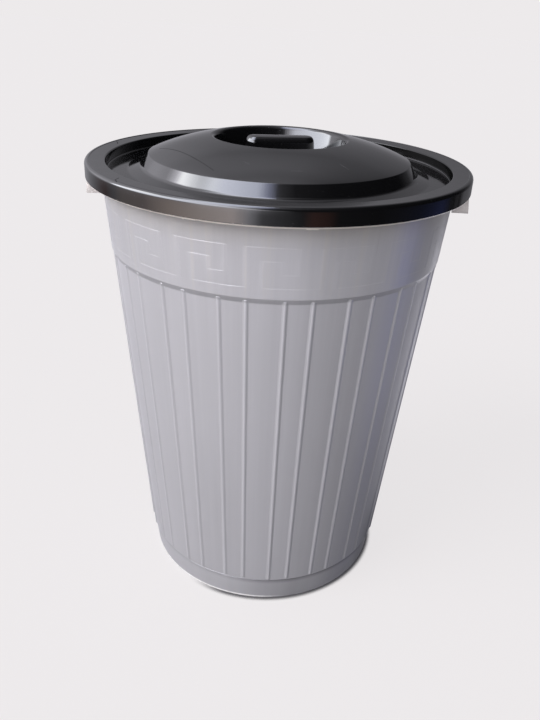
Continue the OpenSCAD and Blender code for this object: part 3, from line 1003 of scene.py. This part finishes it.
# a band's colour ramp from the seam round, its levels as shares of the brightest
def bandStops(levels):
    q = roomLook
    stops = []
    for at, level in levels:
        level = level if isinstance(level, tuple) else tuple(level * c for c in q["plainTint"])
        stops.append((((at - q["seam"]) % 360) / 360, tuple(c / q["brightest"] for c in level) + (1.0,)))
    return stops + [(1.0, stops[0][1])]


def buildRoom():
    q = roomLook
    steps, radius, middle = q["rings"], q["radius"], q["lidHeight"]
    rings = []
    for k in range(1, steps):
        a = -math.pi / 2 + math.pi * k / steps
        ring = circleRing(radius / mm * math.cos(a), radius / mm * math.sin(a), q["segments"])
        rings.append([(x, y, z + middle) for x, y, z in ring])
    room = skinRings("studioRoom", rings, (0, 0, middle - radius), (0, 0, middle + radius))
    material, wire = newMaterial("roomBands")
    x, y, z = splitPlace(wire)[1:]
    azimuth = wire.math("ARCTAN2", x, y * -1.0) * (180 / math.pi) - q["seam"]
    around = wire.math("FLOORED_MODULO", azimuth, 360.0) / 360.0
    height = wire.math("ARCTAN2", z - middle, (x * x + y * y) ** 0.5) * (180 / math.pi)
    painted = [wire.add("ShaderNodeValToRGB", {"stops": bandStops(band["stops"])}, {0: around})
               for band in roomBands]
    whole = painted[0]
    for low, high, colour in zip(roomBands, roomBands[1:], painted[1:]):
        edge = (high["height"] - low["height"]) * q["hardEdge"]
        plugs = {"Value": height, "From Min": low["height"] + edge, "From Max": high["height"] - edge}
        blend = wire.add("ShaderNodeMapRange", {"clamp": True}, plugs)
        whole = mixColours(wire, blend, whole, colour)
    glow = wire.add("ShaderNodeEmission", plugs={"Color": whole, "Strength": q["brightest"]})
    wire.add("ShaderNodeOutputMaterial", plugs={"Surface": glow})
    paint(room, material)
    # only mirrored rays meet it
    for kind in ("camera", "diffuse", "shadow", "transmission", "volume_scatter"):
        setattr(room, "visible_" + kind, False)
    return room


floor = buildFloor()
room = buildRoom()


def buildWorld():
    world = bpy.data.worlds.new("studioAir")
    world.use_nodes = True
    world.node_tree.nodes.clear()
    bpy.context.scene.world = world
    wire = Wire(world.node_tree)
    colour = mixColours(wire, seenRays(wire), airColour, backdropColour)
    back = wire.add("ShaderNodeBackground", plugs={"Color": colour, "Strength": 1.0})
    wire.add("ShaderNodeOutputWorld", plugs={"Surface": back})


buildWorld()

# soft light from the upper left and front; azimuth as in roomBands
lampColour = (1.0, 0.985, 0.98)
lampReach = 3
lamps = [
    {"name": "keyLight", "azimuth": 301, "height": 36, "power": 2.65, "angle": 40},
    {"name": "frontLight", "azimuth": 345, "height": 12, "power": 0.78, "angle": 60},
]
for lamp in lamps:
    light = bpy.data.lights.new(lamp["name"], "SUN")
    light.energy = lamp["power"]
    light.angle = math.radians(lamp["angle"])
    light.color = lampColour
    holder = newObject(lamp["name"], light)
    a, h = math.radians(lamp["azimuth"]), math.radians(lamp["height"])
    towards = Vector((math.sin(a) * math.cos(h), -math.cos(a) * math.cos(h), math.sin(h)))
    holder.rotation_mode = "QUATERNION"
    holder.rotation_quaternion = towards.to_track_quat("Z", "Y")
    holder.location = towards * lampReach
    holder.visible_glossy = False

# ---- camera: found from the photo's ellipses and outline ----
cameraLook = {
    "place": (0.0357, -0.9738, 0.816), "turn": 2.1, "down": 27.01, "roll": 2.646,
    "lens": 34.73, "sensor": 36.0, "near": 0.01, "far": 100,
}
turn, down, roll = (math.radians(cameraLook[k]) for k in ("turn", "down", "roll"))
forward = Vector((-math.sin(turn) * math.cos(down), math.cos(turn) * math.cos(down), -math.sin(down)))
right = Vector((math.cos(turn), math.sin(turn), 0))
upward = right.cross(forward)
tiltedRight = right * math.cos(roll) + upward * math.sin(roll)
tiltedUp = upward * math.cos(roll) - right * math.sin(roll)
camera = bpy.data.cameras.new("photoCamera")
camera.lens, camera.sensor_width = cameraLook["lens"], cameraLook["sensor"]
camera.clip_start, camera.clip_end = cameraLook["near"], cameraLook["far"]
cameraHolder = newObject("photoCamera", camera)
cameraHolder.matrix_world = Matrix((
    (tiltedRight.x, tiltedUp.x, -forward.x, cameraLook["place"][0]),
    (tiltedRight.y, tiltedUp.y, -forward.y, cameraLook["place"][1]),
    (tiltedRight.z, tiltedUp.z, -forward.z, cameraLook["place"][2]),
    (0, 0, 0, 1),
))
bpy.context.scene.camera = cameraHolder
bpy.context.scene.view_settings.view_transform = "Standard"
print("studio and camera ready")
